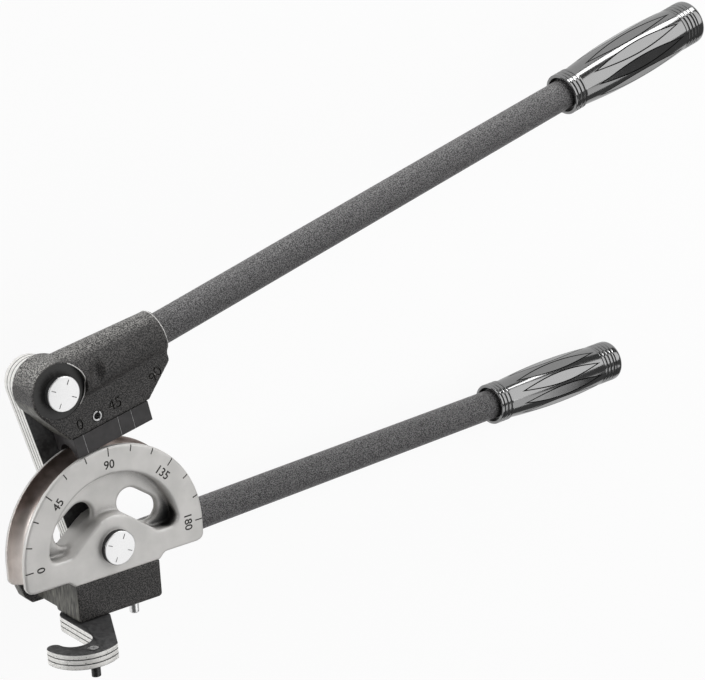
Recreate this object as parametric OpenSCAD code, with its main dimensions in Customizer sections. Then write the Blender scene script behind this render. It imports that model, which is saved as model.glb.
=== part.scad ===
// Lever tube bender: a bend form on a fixed handle, a swinging link, a shoe on the
// moving handle and a latch hook that holds the tube. Millimetres.
// Origin on the centre pin's axis at the form's middle plane. +X runs from the 0 mark to
// the 180 mark, +Y to the 90 mark and +Z along the pin, so the scale faces up.

/* [Tube and bend] */
// Outside diameter of the tube to be bent
tube_d = 15.875; // [13:0.125:16.5]
// Radius of the bend at the tube's centre line
bend_r = 57.15; // [55:0.05:60]
// How far the form's rims stand past the tube's centre line
rim_rise = 1.55; // [1:0.05:2.2]
// Clearance round the tube in groove and shoe
tube_clear = 0.1; // [0.05:0.05:0.3]

/* [Bend form] */
// Width of the form from face to face
form_w = 22; // [21:0.5:25]
// Drop of the form's two ends below the centre pin
end_drop = 12.8; // [11:0.1:15]
// Radius of the lower corners of the ends
end_round = 5; // [2:0.5:7]
// Drop of the foot that sits on the lug
foot_drop = 16.3; // [15.5:0.1:18]
// Width of the foot at its lower edge
foot_w = 56; // [50:1:60]
// Run of the ramps beside the foot
foot_ramp = 4; // [2:0.5:8]
// Bevel on the rims
rim_bevel = 0.9; // [0.3:0.1:1.5]
// Radius of the pockets' outer wall
pocket_r = 42.4; // [40:0.2:44]
// Radius of the hub round the centre pin
hub_r = 18.2; // [16:0.2:20]
// Fall of the hub's shoulders
shoulder_deg = 37.6; // [35:0.2:42]
// Height of the pockets' low ends over the centre pin
pocket_low = 0.8; // [-1:0.2:2]
// Radius of the pockets' corners
pocket_corner = 5.5; // [3:0.5:6.5]
// Thickness of the web between the pockets
web_t = 4.5; // [3:0.5:8]
// Length of a window in the web
window_len = 27.5; // [18:0.5:28]
// Width of a window in the web
window_w = 15.5; // [10:0.5:17]
// Distance of a window from the centre pin
window_r = 26.5; // [24:0.5:28]
// Turn of a window's middle from the 90 mark
window_deg = 52; // [46:1:56]
// Slope of a window's long side
window_tilt = 36; // [20:1:40]

/* [Pivot pins] */
// Diameter of the centre pin and the link pin
pin_d = 12; // [9:0.5:14]
// Diameter of the pins' heads
head_d = 20; // [17:0.5:24]
// Thickness of the pins' heads
head_t = 4; // [2.5:0.5:6]
// Bevel round the heads
head_bevel = 0.8; // [0.3:0.1:1.2]
// Radial clearance of the pins in their bores
pin_fit = 0.05; // [0.03:0.01:0.1]
// Gap under a head and beside a ring
seat_gap = 0.1; // [0.05:0.05:0.2]
// Thickness of the snap rings
ring_t = 1.2; // [0.8:0.1:2]
// Outside diameter of the snap rings
ring_d = 18; // [16:0.5:20]
// Depth of the ring grooves
ring_groove = 0.6; // [0.3:0.1:1]
// Width of the snap rings' mouth
ring_mouth = 7.6; // [6:0.2:9]
// Length of pin behind a ring
pin_tail = 1.5; // [0.8:0.1:3]

/* [Link] */
// Distance between the centre pin and the link pin
link_len = 100.5; // [98:0.5:106]
// Direction of the link from +X
link_deg = 105.2; // [75:0.1:150]
// Width of the link plates
link_w = 28.4; // [24:0.2:30]
// Thickness of one link plate
link_plate_t = 3.2; // [2.5:0.1:4]
// Running gap on both sides of the link
layer_gap = 0.5; // [0.3:0.1:1]
// Gap left between stacked plates
plate_gap = 0.04; // [0.02:0.01:0.08]

/* [Form handle] */
// Width of the vise lug
lug_w = 55; // [52:0.5:60]
// Height of the vise lug
lug_h = 22.2; // [20:0.2:28]
// Radius of the lug's lower corners
lug_round = 1.5; // [1:0.5:4]
// Reach of the lug behind the form
lug_back = 2.5; // [1.5:0.5:4]
// Set-back of the neck's sides from the lug's
neck_inset = 0.6; // [0.3:0.1:2]
// Drop of the lug's neck below the foot, which the link swings over
neck_drop = 1.7; // [1:0.1:3]
// Rise of the neck's lower side over the lug's
neck_rise = 1.9; // [1:0.1:3]
// Radius of the ear that holds the centre pin behind the link
ear_r = 11; // [9.5:0.5:12]
// Thickness of that ear
ear_t = 8; // [6:0.5:9]
// Thickness of the bar between the neck and the lower socket
bar_t = 8; // [6:0.5:10]
// Reach of the bar to the left of the centre pin
bar_left = 39.4; // [37:0.2:41]
// Lean of the bar's left end
bar_lean = 20; // [10:1:24]
// Lower edge of the bar below the centre pin
bar_low = 39.7; // [38.5:0.1:41]
// Slanted lower left corner of the bar
bar_corner = 4.9; // [2:0.1:8]
// Distance of the lower handle's axis below the centre pin
low_off = 23.8; // [22.5:0.1:25]
// Depth of the lower handle's axis behind the form's middle
low_depth = 39; // [38:0.5:43]
// Slope of the lower handle
low_deg = 2.45; // [0:0.05:5]
// Outer radius of the lower socket
low_socket_r = 12.5; // [11.5:0.1:13]
// Reach of the lower socket's closed end to the left of the centre pin
low_back = 25; // [18:1:30]
// Distance of the lower socket's mouth from the centre pin
low_mouth = 40; // [36:1:70]
// Distance of the lower grip's end from the centre pin
low_reach = 429.4; // [380:0.2:520]

/* [Handle tubes and grips] */
// Outside diameter of the handle tubes
handle_d = 19.05; // [17:0.05:20]
// Wall of the handle tubes
handle_wall = 2.1; // [1.5:0.1:3]
// Length of tube inside a socket
insert = 45; // [35:1:48]
// Radial clearance of a tube in its socket and grip
handle_fit = 0.05; // [0.02:0.01:0.1]
// Length of the lower grip
low_grip_len = 110; // [105:0.2:140]
// Length of the upper grip
up_grip_len = 118.2; // [105:0.2:140]
// Radius of a grip's ribs at its open end
grip_near_r = 13.4; // [13:0.1:14]
// Radius of the lower grip's barrel at its fullest
low_grip_r = 14.9; // [14.5:0.1:16]
// Radius of the upper grip's barrel at its fullest
up_grip_r = 15.8; // [14.5:0.1:16.5]
// How much smaller the ribs at a grip's closed end are than its barrel
grip_taper = 1.4; // [0.8:0.1:1.5]
// Height of a grip's ribs
rib_h = 0.9; // [0.4:0.1:1.1]
// Spacing of a grip's ribs
rib_pitch = 3; // [2.5:0.1:3.5]
// Number of ribs at a grip's open end
near_ribs = 3; // [2:1:4]
// Number of ribs at a grip's closed end
far_ribs = 4; // [3:1:5]
// Length of the plain band at a grip's open end
grip_lip = 2; // [1.5:0.1:3]
// Length of the plain cap at a grip's closed end
grip_cap = 6; // [5:0.5:8]
// Radius of the cap's edge
cap_round = 3.6; // [2:0.2:4.6]
// Thickness of a grip's closed end
grip_end = 5; // [3:0.5:8]
// Depth of the recess round the tube at a grip's open end
lip_depth = 7; // [3:0.5:10]
// Width of that recess
lip_gap = 1.7; // [0.8:0.1:2]
// Radius of a grip's barrel next to the ribs at its open end
barrel_near_r = 12.6; // [12:0.1:13.2]

/* [Shoe handle] */
// Angle between the link and the square to the shoe
shoe_turn = 3.5; // [2:0.1:5]
// Length of the shoe behind the point where it touches the form
shoe_lead = 6.6; // [3:0.1:7]
// Length of the shoe
shoe_len = 50; // [46:0.5:54]
// Height of the shoe below the casting
shoe_h = 11.7; // [10:0.1:12]
// Gap between the form's rims and the shoe
shoe_gap = 0.8; // [0.4:0.1:1.2]
// Thickness of the shoe's tongue
tongue_t = 8; // [6:0.5:11]
// Length of the shoe's tongue
tongue_len = 22; // [16:0.5:26]
// Height of the shoe's tongue
tongue_h = 11; // [10:0.5:12]
// Clearance of the tongue in its slot
tongue_fit = 0.1; // [0.05:0.05:0.2]
// Place of the roll pin along the shoe
roll_along = 11.3; // [6:0.1:16]
// Height of the roll pin over the shoe
roll_rise = 6.2; // [5.5:0.1:6.8]
// Diameter of the roll pin
roll_d = 6; // [4:0.5:7]
// Wall of the roll pin
roll_wall = 1.1; // [0.8:0.1:1.5]
// Slit of the roll pin
roll_slit = 0.8; // [0.4:0.1:1.2]
// Turn of the roll pin's slit against the shoe
roll_turn = 60; // [0:5:355]
// Radial clearance of the roll pin
roll_fit = 0.03; // [0.02:0.01:0.06]
// Radius of the boss round the link pin
head_boss_r = 17.3; // [15.6:0.1:18]
// Radius of the flat that the link pin's head sits on
spot_r = 15.4; // [13:0.1:15.5]
// Slope of the upper handle against the shoe
up_tilt = 3.1; // [2:0.1:4]
// Distance of the upper handle's axis below the link pin
up_below = 2.25; // [0:0.05:3]
// Outer radius of the upper socket at its mouth
up_mouth_r = 13.2; // [12:0.1:14.5]
// Outer radius of the upper socket at the boss
up_root_r = 15.8; // [15:0.1:17]
// Rise of the upper socket over the tube's axis at the boss
up_root_rise = 3.6; // [1:0.1:4]
// Distance of the upper socket's mouth from the link pin
up_mouth = 71; // [68:0.5:85]
// Distance of the upper grip's end from the link pin
up_reach = 512; // [440:0.5:600]
// Overhang of the web past the shoe's free end
web_over = 1.5; // [0.5:0.1:3]
// Run of the web's slanted edge up to the socket's mouth
web_slant = 18.9; // [14:0.1:20]
// Drop of the web's free corner below the socket
web_drop = 1.5; // [0.5:0.1:3]
// Overhang of the web at the shoe's other end
web_lead = 1.2; // [0.5:0.1:2]

/* [Latch] */
// Thickness of one latch plate
latch_plate_t = 3; // [2.5:0.1:3.5]
// Gap between the lug and the latch
latch_gap = 0.4; // [0.3:0.1:0.8]
// Place of the latch's pivot to the left of the centre pin
latch_left = 21; // [19:0.5:22.5]
// Place of the latch's pivot behind the form's middle
latch_back = 4.5; // [2:0.5:5]
// Radius of the latch's pivot end
latch_end_r = 9; // [7:0.5:10]
// Throat's middle to the left of the pivot
throat_left = 19; // [18:0.5:20]
// Throat's middle in front of the pivot
throat_front = 29.5; // [28:0.5:31]
// Clearance round the tube in the throat
throat_clear = 2.05; // [1:0.05:2.5]
// Radius of the latch's outer curve
latch_r = 21.5; // [20.5:0.5:22.5]
// Shift of the outer curve to the right of the throat
curve_right = 3.5; // [2.5:0.1:4]
// Shift of the outer curve to the front of the throat
curve_front = 2.6; // [1.5:0.1:3.5]
// Reach of the hook's tip past the throat's middle
tip_front = 2; // [0:0.1:3]
// Direction from the outer curve's middle to the end of the curve
curve_end_deg = 57.5; // [50:0.5:65]
// Reach of the latch's corner to the right of the throat
corner_right = 32.5; // [30:0.5:34]
// Drop of that corner behind the throat
corner_back = 14.6; // [12:0.2:17]
// Diameter of the screw's shoulder that the latch turns on
latch_pin_d = 6.5; // [6:0.5:7]
// Diameter of the latch screw's thread in the lug
latch_thread_d = 5; // [4:0.5:5.5]
// Diameter of the latch screw's head
latch_head_d = 9; // [8.5:0.5:12]
// Height of the latch screw's head
latch_head_t = 4.5; // [3:0.5:6]
// Diameter of the finger peg
peg_d = 6; // [4:0.5:7]
// Length of the finger peg below the plates
peg_out = 7.5; // [4:0.5:10]
// Place of the stop pin to the right of the centre pin
stop_right = 14.6; // [13:0.1:15]
// Diameter of the stop pin
stop_d = 5.7; // [4:0.1:7]
// Length of the stop pin below the lug
stop_out = 9.8; // [6:0.2:12]

/* [Fasteners] */
// Diameter of the screws that hold the form and the latch
screw_d = 6; // [5:0.5:6]
// Diameter of the form screws' heads
screw_head_d = 9.5; // [8:0.5:10]
// Height of the form screws' heads
screw_head_t = 6; // [5:0.5:7]
// Width of the sockets in the form screws' heads
screw_socket = 5.5; // [4:0.5:6]
// Distance between the two form screws
screw_apart = 13.5; // [12:0.5:14.5]
// Place of the form screws' middle to the left of the centre pin
screw_left = 1.75; // [1:0.25:3]
// Depth of a form screw in the form's foot
screw_hold = 7; // [5:0.5:8]
// Radial clearance of screws and pressed pins
screw_fit = 0.05; // [0.03:0.01:0.1]

/* [Hidden] */
$fn = 96;

// Overshoot of cuts past the faces that they open
cut = 1;
// Bite of a round corner into the walls that it joins
corner_bite = 0.02;
// Foot, top, top and foot of a grip's rib as parts of the pitch
rib_steps = [0.1, 0.3, 0.6, 0.8];
// Turns at which the round edge of a grip's cap is drawn
cap_turns = [0 : 15 : 90];
groove_r = tube_d / 2 + tube_clear;
rim_r = bend_r + rim_rise;
face_z = form_w / 2;
pocket_depth = (form_w - web_t) / 2;
screw_r = screw_d / 2;
screw_hole_r = screw_r + screw_fit;

link_plates = 4;
link_front_z = -face_z - layer_gap;
link_back_z = link_front_z - link_plates * link_plate_t;
ear_front_z = link_back_z - layer_gap;
ear_back_z = ear_front_z - ear_t;
pin_r = pin_d / 2;
bore_r = pin_r + pin_fit;
link_pin_place = link_len * [cos(link_deg), sin(link_deg)];

lug_low = -foot_drop - lug_h;
lug_back_z = -face_z - lug_back;
neck_top = -foot_drop - neck_drop;
neck_low = lug_low + neck_rise;
neck_w = lug_w - 2 * neck_inset;
bar_front_z = -low_depth + bar_t / 2;
bar_top = low_socket_r - low_off;
handle_r = handle_d / 2;
handle_bore_r = handle_r + handle_fit;

shoe_deg = link_deg - 90 - shoe_turn;
shoe_low = rim_r + shoe_gap;
shoe_top = shoe_low + shoe_h;
shoe_end = shoe_len - shoe_lead;
pin_u = -link_len * sin(shoe_turn);
pin_v = link_len * cos(shoe_turn);
tongue_u = roll_along - tongue_len / 2;
roll_v = shoe_top + roll_rise;

latch_plates = 3;
latch_top = lug_low - latch_gap;
latch_low = latch_top - latch_plates * latch_plate_t;
throat_r = groove_r - tube_clear + throat_clear;
throat_x = -latch_left - throat_left;
throat_z = -latch_back + throat_front;
peg_place = [throat_x + curve_right / 2, throat_z + (throat_r + latch_r + curve_front) / 2];
screw_places = [-screw_left - screw_apart / 2, -screw_left + screw_apart / 2];
screw_head_top = lug_low + cut + screw_head_t;

// A stretch along the lower handle, starting at the foot of the centre pin
module along_lower(from) {
    rotate([0, 0, low_deg])
        translate([from, -low_off, -low_depth])
            rotate([0, 90, 0])
                children();
}

// The shoe's frame: X along the shoe, Y outward from the centre pin
module shoe_frame() {
    rotate([0, 0, shoe_deg])
        children();
}

// A stretch along the upper handle, starting beside the link pin
module along_upper(from) {
    shoe_frame()
        translate([pin_u, pin_v, 0])
            rotate([0, 0, up_tilt])
                translate([from, -up_below, 0])
                    rotate([0, 90, 0])
                        children();
}

// A straight slot between two round ends
module slot(length, width) {
    run = length - width;
    square([run, width], center = true);
    for (side = [-1, 1])
        translate([side * run / 2, 0])
            circle(d = width);
}

// The form's outline: a half disc, its two straight ends and the foot between them
module form_outline() {
    intersection() {
        circle(r = rim_r);
        translate([-rim_r, 0])
            square([2 * rim_r, rim_r]);
    }
    translate([-rim_r, end_round - end_drop])
        square([2 * rim_r, end_drop - end_round]);
    translate([end_round - rim_r, -end_drop])
        square([2 * (rim_r - end_round), end_drop]);
    for (side = [-1, 1])
        translate([side * (rim_r - end_round), end_round - end_drop])
            circle(r = end_round);
    polygon([
        [-foot_w / 2 - foot_ramp, -end_drop],
        [-foot_w / 2, -foot_drop],
        [foot_w / 2, -foot_drop],
        [foot_w / 2 + foot_ramp, -end_drop]
    ]);
}

// Section of the tube groove, with straight flanks out to the rim, and the rims' bevels
module groove_section() {
    translate([bend_r, 0])
        circle(r = groove_r);
    translate([bend_r, -groove_r])
        square([rim_rise + cut, 2 * groove_r]);
    for (side = [-1, 1])
        translate([rim_r, side * face_z])
            rotate(45)
                square(rim_bevel * sqrt(2), center = true);
}

// The groove round the half circle and straight down at both ends
module tube_groove() {
    rotate_extrude(angle = 180)
        groove_section();
    for (side = [0, 1])
        mirror([side, 0, 0])
            rotate([90, 0, 0])
                linear_extrude(end_drop + cut)
                    groove_section();
}

// Outline of a pocket: between the outer wall and the hub with its sloping shoulders,
// closed by a straight low end with two round corners on each side
module pocket_outline() {
    square_to = [-sin(shoulder_deg), cos(shoulder_deg)];
    corner_y = pocket_low + pocket_corner;
    wall_corner = [-sqrt(pow(pocket_r - pocket_corner, 2) - pow(corner_y, 2)), corner_y];
    hub_corner_x = (corner_y * square_to[1] - hub_r - pocket_corner) / -square_to[0];
    hub_corner = [hub_corner_x, corner_y];
    wall_point = wall_corner * pocket_r / (pocket_r - pocket_corner);
    difference() {
        circle(r = pocket_r);
        circle(r = hub_r);
        for (side = [0, 1])
            mirror([side, 0, 0])
                polygon([
                    [0, 0],
                    hub_r * square_to,
                    hub_corner - pocket_corner * square_to,
                    hub_corner,
                    wall_corner,
                    wall_point,
                    2 * wall_point,
                    [-2 * pocket_r, -2 * pocket_r],
                    [0, -2 * pocket_r]
                ]);
    }
    for (side = [0, 1])
        mirror([side, 0, 0]) {
            for (corner = [wall_corner, hub_corner])
                translate(corner)
                    circle(r = pocket_corner + corner_bite);
            translate([wall_corner[0], pocket_low])
                square([hub_corner[0] - wall_corner[0], pocket_corner + corner_bite]);
        }
}

module bend_form() {
    color("silver")
        difference() {
            linear_extrude(form_w, center = true)
                form_outline();
            tube_groove();
            for (side = [0, 1])
                mirror([0, 0, side])
                    translate([0, 0, face_z - pocket_depth])
                        linear_extrude(pocket_depth + cut)
                            pocket_outline();
            for (side = [-1, 1])
                rotate([0, 0, 90 - side * window_deg])
                    translate([window_r, 0, 0])
                        rotate([0, 0, side * (window_deg - 90 - window_tilt)])
                            linear_extrude(web_t + cut, center = true)
                                slot(window_len, window_w);
            cylinder(r = bore_r, h = form_w + 2 * cut, center = true);
            for (place = screw_places)
                translate([place, -foot_drop - cut, 0])
                    rotate([-90, 0, 0])
                        cylinder(r = screw_hole_r, h = screw_hold + 2 * cut);
        }
}

// A headed pin from the front face down to a snap ring behind the last layer
module headed_pin(back_z) {
    ring_z = back_z - seat_gap;
    tail_z = ring_z - ring_t - seat_gap;
    head_z = face_z + seat_gap;
    rotate_extrude()
        polygon([
            [0, head_z + head_t],
            [head_d / 2 - head_bevel, head_z + head_t],
            [head_d / 2, head_z + head_t - head_bevel],
            [head_d / 2, head_z],
            [pin_r, head_z],
            [pin_r, ring_z],
            [pin_r - ring_groove, ring_z],
            [pin_r - ring_groove, tail_z],
            [pin_r, tail_z],
            [pin_r, tail_z - pin_tail + head_bevel],
            [pin_r - head_bevel, tail_z - pin_tail],
            [0, tail_z - pin_tail]
        ]);
}

// The open snap ring that sits in a pin's groove
module snap_ring(back_z) {
    inner_r = pin_r - ring_groove + pin_fit;
    translate([0, 0, back_z - seat_gap - ring_t])
        difference() {
            cylinder(d = ring_d, h = ring_t);
            translate([0, 0, -cut])
                cylinder(r = inner_r, h = ring_t + 2 * cut);
            translate([-ring_mouth / 2, -ring_d, -cut])
                cube([ring_mouth, ring_d, ring_t + 2 * cut]);
        }
}

module centre_pin() {
    color("gainsboro")
        headed_pin(ear_back_z);
}

module centre_pin_ring() {
    color("dimgray")
        snap_ring(ear_back_z);
}

module link_pin() {
    color("gainsboro")
        translate(link_pin_place)
            headed_pin(link_back_z);
}

module link_pin_ring() {
    color("dimgray")
        translate(link_pin_place)
            rotate([0, 0, link_deg])
                snap_ring(link_back_z);
}

// One stamped plate of the link, counted from the front
module link_plate(index) {
    color("slategray")
        translate([0, 0, link_front_z - (index + 1) * link_plate_t + plate_gap / 2])
            rotate([0, 0, link_deg])
                linear_extrude(link_plate_t - plate_gap)
                    difference() {
                        translate([link_len / 2, 0])
                            slot(link_len + link_w, link_w);
                        circle(r = bore_r);
                        translate([link_len, 0])
                            circle(r = bore_r);
                    }
}

// The vise lug in outline, with rounded lower corners
module lug_outline() {
    translate([-lug_w / 2, lug_low + lug_round])
        square([lug_w, lug_h - lug_round]);
    translate([lug_round - lug_w / 2, lug_low])
        square([lug_w - 2 * lug_round, lug_h]);
    for (side = [-1, 1])
        translate([side * (lug_w / 2 - lug_round), lug_low + lug_round])
            circle(r = lug_round);
}

// The neck that runs back from the lug below the link
module lug_neck() {
    translate([-neck_w / 2, neck_low, bar_front_z - cut])
        cube([neck_w, neck_top - neck_low, lug_back_z - bar_front_z + 2 * cut]);
    translate([-neck_w / 2, neck_low, lug_back_z])
        rotate([90, 0, 90])
            linear_extrude(neck_w)
                difference() {
                    translate([-neck_rise, -neck_rise])
                        square(neck_rise + cut);
                    translate([-neck_rise, -neck_rise])
                        circle(r = neck_rise);
                }
}

// The ear that stands on the neck behind the link and holds the centre pin
module pin_ear() {
    translate([0, 0, ear_back_z])
        linear_extrude(ear_t) {
            circle(r = ear_r);
            translate([-ear_r, neck_top - cut])
                square([2 * ear_r, cut - neck_top]);
        }
}

// The bar across the neck's back, with a leaning left end and a slanted corner
module socket_bar() {
    corner_y = bar_corner - bar_low;
    corner_x = (-low_off - corner_y) * tan(bar_lean) - bar_left;
    translate([0, 0, bar_front_z - bar_t])
        linear_extrude(bar_t)
            polygon([
                [-low_back, bar_top],
                [-bar_left, -low_off],
                [corner_x, corner_y],
                [corner_x + bar_corner, -bar_low],
                [neck_w / 2, -bar_low],
                [neck_w / 2, bar_top]
            ]);
}

module form_handle_casting() {
    color([0.16, 0.16, 0.16])
        difference() {
            union() {
                translate([0, 0, lug_back_z])
                    linear_extrude(face_z - lug_back_z)
                        lug_outline();
                lug_neck();
                pin_ear();
                socket_bar();
                along_lower(-low_back)
                    cylinder(r = low_socket_r, h = low_back + low_mouth);
            }
            translate([-lug_w, neck_top, lug_back_z - cut])
                cube([2 * lug_w, lug_h, lug_back + cut]);
            translate([0, 0, ear_back_z - cut])
                cylinder(r = bore_r, h = ear_t + 2 * cut);
            along_lower(low_mouth - insert)
                cylinder(r = handle_bore_r, h = insert + cut);
            for (place = screw_places)
                translate([place, lug_low - cut, 0])
                    rotate([-90, 0, 0]) {
                        cylinder(r = screw_hole_r, h = lug_h + 2 * cut);
                        cylinder(d = screw_head_d + 2 * seat_gap, h = screw_head_top - lug_low + cut);
                    }
            translate([-latch_left, lug_low - cut, -latch_back])
                rotate([-90, 0, 0])
                    cylinder(d = latch_thread_d + 2 * screw_fit, h = lug_h / 2 + cut);
            translate([stop_right, lug_low - cut, 0])
                rotate([-90, 0, 0])
                    cylinder(r = stop_d / 2 + screw_fit, h = lug_h / 2 + cut);
        }
}

// A round handle tube of a given length
module handle_tube(length) {
    color([0.22, 0.22, 0.23])
        difference() {
            cylinder(r = handle_r, h = length);
            translate([0, 0, -cut])
                cylinder(r = handle_r - handle_wall, h = length + 2 * cut);
        }
}

module form_handle_tube() {
    along_lower(low_mouth - insert)
        handle_tube(low_reach - grip_end - low_mouth + insert);
}

// Ribs as profile points of a grip, from a height up
function rib_points(start, count, top_r) = [
    for (rib = [0 : count - 1], step = [0 : 3])
        [
            top_r - (step == 0 || step == 3 ? rib_h : 0),
            start + (rib + rib_steps[step]) * rib_pitch
        ]
];

// The round edge of a grip's cap as profile points
function cap_points(length, top_r) = [
    for (turn = cap_turns)
        [top_r - cap_round * (1 - cos(turn)), length - cap_round * (1 - sin(turn))]
];

// A moulded grip with ribs at both ends, a swelling barrel and a rounded end
module grip(length, full_r) {
    far_r = full_r - grip_taper;
    barrel_from = grip_lip + near_ribs * rib_pitch;
    barrel_to = length - grip_cap - far_ribs * rib_pitch;
    middle = (barrel_from + barrel_to) / 2;
    run = [far_r - barrel_near_r, barrel_to - barrel_from];
    square_to = [run[1], -run[0]] / norm(run);
    sag = full_r - (barrel_near_r + far_r) / 2;
    arc_r = (pow(norm(run) / 2, 2) + pow(sag, 2)) / (2 * sag);
    arc_middle = [(barrel_near_r + far_r) / 2, middle] + (sag - arc_r) * square_to;
    color([0.07, 0.07, 0.07])
        difference() {
            union() {
                rotate_extrude() {
                    polygon(concat(
                        [[handle_bore_r + lip_gap, 0], [grip_near_r - rib_h / 2, 0]],
                        [[grip_near_r, rib_h / 2], [grip_near_r, grip_lip - rib_h / 2]],
                        rib_points(grip_lip, near_ribs, grip_near_r),
                        [[grip_near_r - rib_h, barrel_from + cut], [handle_bore_r, barrel_from + cut]],
                        [[handle_bore_r, lip_depth], [handle_bore_r + lip_gap, lip_depth]]
                    ));
                    polygon(concat(
                        [[0, barrel_to - cut], [far_r - rib_h, barrel_to - cut]],
                        rib_points(barrel_to, far_ribs, far_r),
                        [[far_r, length - grip_cap]],
                        cap_points(length, far_r),
                        [[0, length]]
                    ));
                }
                rotate_extrude()
                    intersection() {
                        translate(arc_middle)
                            circle(r = arc_r, $fn = 720);
                        translate([0, barrel_from])
                            square([2 * full_r, barrel_to - barrel_from]);
                    }
            }
            translate([0, 0, barrel_from - cut])
                cylinder(r = handle_bore_r, h = length - grip_end - barrel_from + cut);
        }
}

module form_handle_grip() {
    along_lower(low_reach - low_grip_len)
        grip(low_grip_len, low_grip_r);
}

module shoe_handle_tube() {
    along_upper(up_mouth - insert)
        handle_tube(up_reach - grip_end - up_mouth + insert);
}

module shoe_handle_grip() {
    along_upper(up_reach - up_grip_len)
        grip(up_grip_len, up_grip_r);
}

// The web between boss, socket and shoe, in the shoe's frame
module web_outline() {
    corner = [-shoe_lead - web_lead, shoe_top];
    pin = [pin_u, pin_v];
    reach = norm(corner - pin);
    corner_dir = atan2(corner[1] - pin[1], corner[0] - pin[0]);
    touch_dir = corner_dir - acos(head_boss_r / reach);
    touch = pin + head_boss_r * [cos(touch_dir), sin(touch_dir)];
    mouth_u = pin_u + up_mouth * cos(up_tilt) - cut;
    mouth_v = pin_v - up_below + up_mouth * sin(up_tilt);
    polygon([
        pin,
        touch,
        corner,
        [shoe_end + web_over, shoe_top],
        [shoe_end + web_over + web_slant, mouth_v - up_mouth_r - web_drop],
        [mouth_u, mouth_v - up_mouth_r + cut],
        [mouth_u, mouth_v]
    ]);
    translate(pin)
        circle(r = head_boss_r);
}

module shoe_handle_casting() {
    color([0.16, 0.16, 0.16])
        difference() {
            union() {
                shoe_frame()
                    linear_extrude(form_w, center = true)
                        web_outline();
                along_upper(up_mouth)
                    rotate([asin(up_root_rise / up_mouth), 0, 0])
                        translate([0, 0, -up_mouth])
                            cylinder(r1 = up_root_r, r2 = up_mouth_r, h = up_mouth);
            }
            translate([link_pin_place[0], link_pin_place[1], face_z])
                cylinder(r = spot_r, h = form_w);
            translate([link_pin_place[0], link_pin_place[1], -face_z - form_w])
                cylinder(r = norm([link_w / 2, up_root_r + up_root_rise]) + 2 * layer_gap, h = form_w);
            translate(link_pin_place)
                cylinder(r = bore_r, h = form_w + 2 * cut, center = true);
            along_upper(up_mouth - insert)
                cylinder(r = handle_bore_r, h = insert + cut);
            shoe_frame() {
                translate([tongue_u - tongue_fit, shoe_top - cut, -tongue_t / 2 - tongue_fit])
                    cube([tongue_len + 2 * tongue_fit, tongue_h + tongue_fit + cut, tongue_t + 2 * tongue_fit]);
                translate([roll_along, roll_v, 0])
                    cylinder(r = roll_d / 2 + roll_fit, h = form_w + 2 * cut, center = true);
            }
        }
}

module bend_shoe() {
    color([0.2, 0.2, 0.21])
        shoe_frame()
            difference() {
                union() {
                    translate([-shoe_lead, shoe_low, -face_z])
                        cube([shoe_len, shoe_h, form_w]);
                    translate([tongue_u, shoe_low + shoe_h / 2, -tongue_t / 2])
                        cube([tongue_len, shoe_h / 2 + tongue_h, tongue_t]);
                }
                translate([-shoe_lead - cut, bend_r, 0])
                    rotate([0, 90, 0])
                        cylinder(r = groove_r, h = shoe_len + 2 * cut);
                translate([roll_along, roll_v, 0])
                    cylinder(r = roll_d / 2 + roll_fit, h = form_w, center = true);
            }
}

// A rolled spring pin, open along one side
module roll_pin(diameter, length) {
    difference() {
        cylinder(d = diameter, h = length, center = true);
        cylinder(d = diameter - 2 * roll_wall, h = length + 2 * cut, center = true);
        translate([0, -roll_slit / 2, -length / 2 - cut])
            cube([diameter, roll_slit, length + 2 * cut]);
    }
}

module shoe_roll_pin() {
    color("lightgray")
        shoe_frame()
            translate([roll_along, roll_v, 0])
                rotate([0, 0, roll_turn])
                    roll_pin(roll_d, form_w);
}

// The hook in outline, X to the right and Y to the front
module latch_outline() {
    curve = [throat_x + curve_right, throat_z + curve_front];
    corner = [throat_x + corner_right, throat_z - corner_back];
    curve_end = curve + latch_r * [cos(curve_end_deg), sin(curve_end_deg)];
    tip_y = throat_z + tip_front;
    tip_out = curve[0] - sqrt(pow(latch_r, 2) - pow(curve_front - tip_front, 2));
    tip_in = throat_x - sqrt(pow(throat_r, 2) - pow(tip_front, 2));
    shank_left = throat_x + throat_r;
    difference() {
        union() {
            difference() {
                translate(curve)
                    circle(r = latch_r);
                polygon([curve_end, corner, corner + [latch_r, 0], curve_end + [latch_r, latch_r]]);
            }
            translate([-latch_left, -latch_back])
                circle(r = latch_end_r);
            polygon([
                [shank_left, tip_y],
                [shank_left, -latch_back],
                [-latch_left, -latch_back - latch_end_r],
                [-latch_left + latch_end_r, -latch_back - latch_end_r / 2],
                corner,
                curve_end,
                curve
            ]);
        }
        translate([throat_x, throat_z])
            circle(r = throat_r);
        translate([shank_left - 3 * latch_r, tip_y - 3 * latch_r])
            square([3 * latch_r, 3 * latch_r]);
        translate([-latch_left, -latch_back])
            circle(r = latch_pin_d / 2 + pin_fit);
        translate(peg_place)
            circle(r = peg_d / 2 + roll_fit);
    }
    translate([(tip_out + tip_in) / 2, tip_y])
        circle(d = tip_in - tip_out);
}

// One stamped plate of the latch, counted from the top
module latch_plate(index) {
    color("slategray")
        translate([0, latch_top - index * latch_plate_t, 0])
            rotate([90, 0, 0])
                linear_extrude(latch_plate_t - plate_gap)
                    latch_outline();
}

module latch_peg() {
    length = latch_plates * latch_plate_t + peg_out;
    color([0.25, 0.25, 0.25])
        translate([peg_place[0], latch_top - length / 2, peg_place[1]])
            rotate([90, 0, 0])
                roll_pin(peg_d, length);
}

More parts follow.
